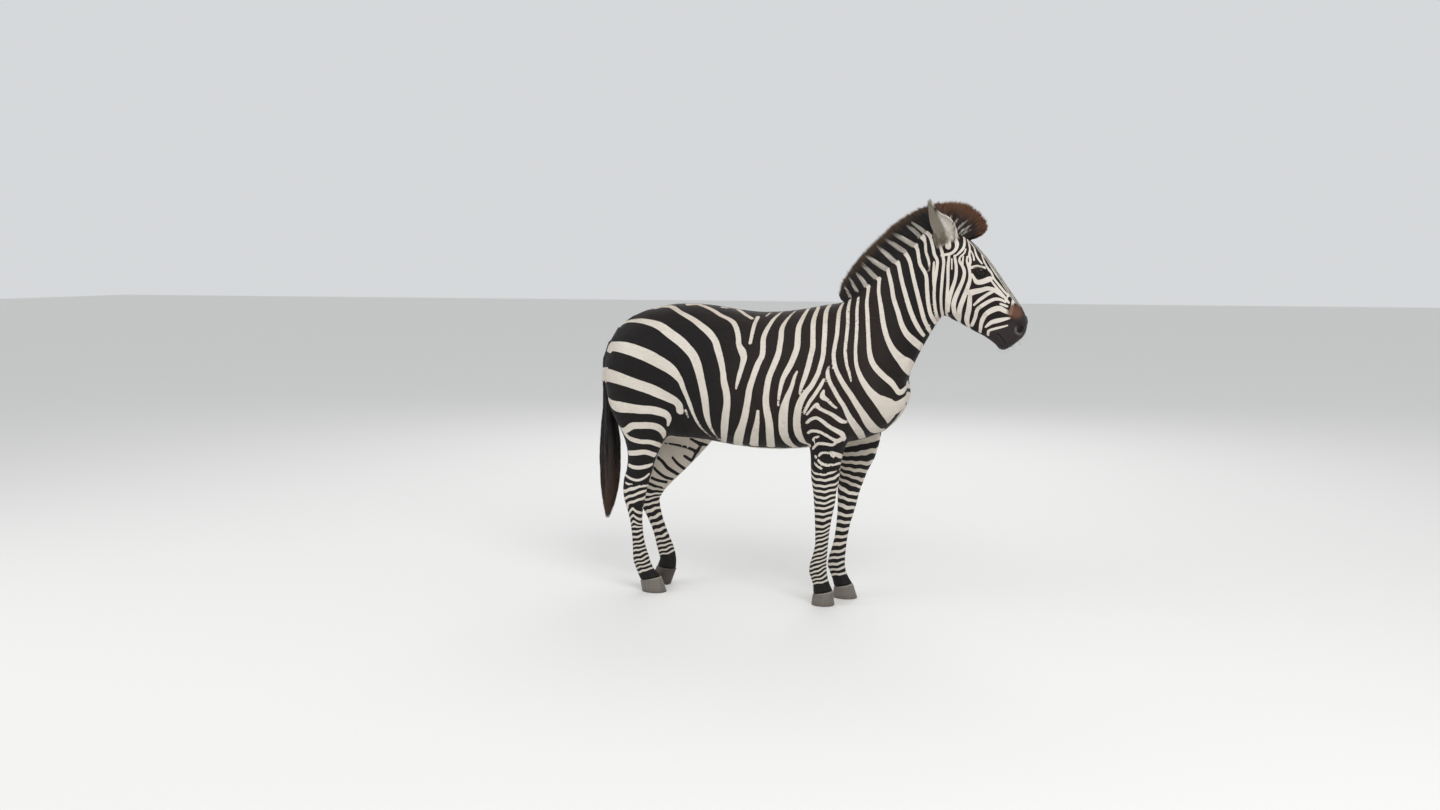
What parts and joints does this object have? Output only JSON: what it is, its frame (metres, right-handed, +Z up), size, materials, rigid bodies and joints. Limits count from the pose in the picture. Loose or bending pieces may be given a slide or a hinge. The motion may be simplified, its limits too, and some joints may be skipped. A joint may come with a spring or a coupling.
{
  "type": "zebra",
  "caption": "Life-size plains zebra standing still with head raised, erect mane, striped coat and tasselled tail, resting one hind foot on its toe.",
  "frame": {"origin": "on the floor below the middle of the whole animal, from tail tuft to lips and from side to side", "axes": "+X towards the head, +Y towards the animal's left side, +Z up"},
  "size_m": [1.8872, 0.544, 1.71],
  "materials": {
    "coat": "short flat hair, black and cream stripes",
    "long_hair": "coarse upright and hanging hair",
    "hoof": "satin horn",
    "eye": "wet gloss"
  },
  "bodies": {
    "root": {"trunk": "coat", "neck": "coat", "head": "coat", "eye_right": "eye", "eye_left": "eye", "ear_right": "coat", "ear_left": "coat", "mane": "long_hair", "forelock": "long_hair", "tail_dock": "coat", "tail_tuft": "long_hair", "leg_fore_right": "coat", "leg_fore_left": "coat", "leg_hind_right": "coat", "leg_hind_left": "coat", "hoof_fore_right": "hoof", "hoof_fore_left": "hoof", "hoof_hind_right": "hoof", "hoof_hind_left": "hoof"}
  },
  "joints": []
}
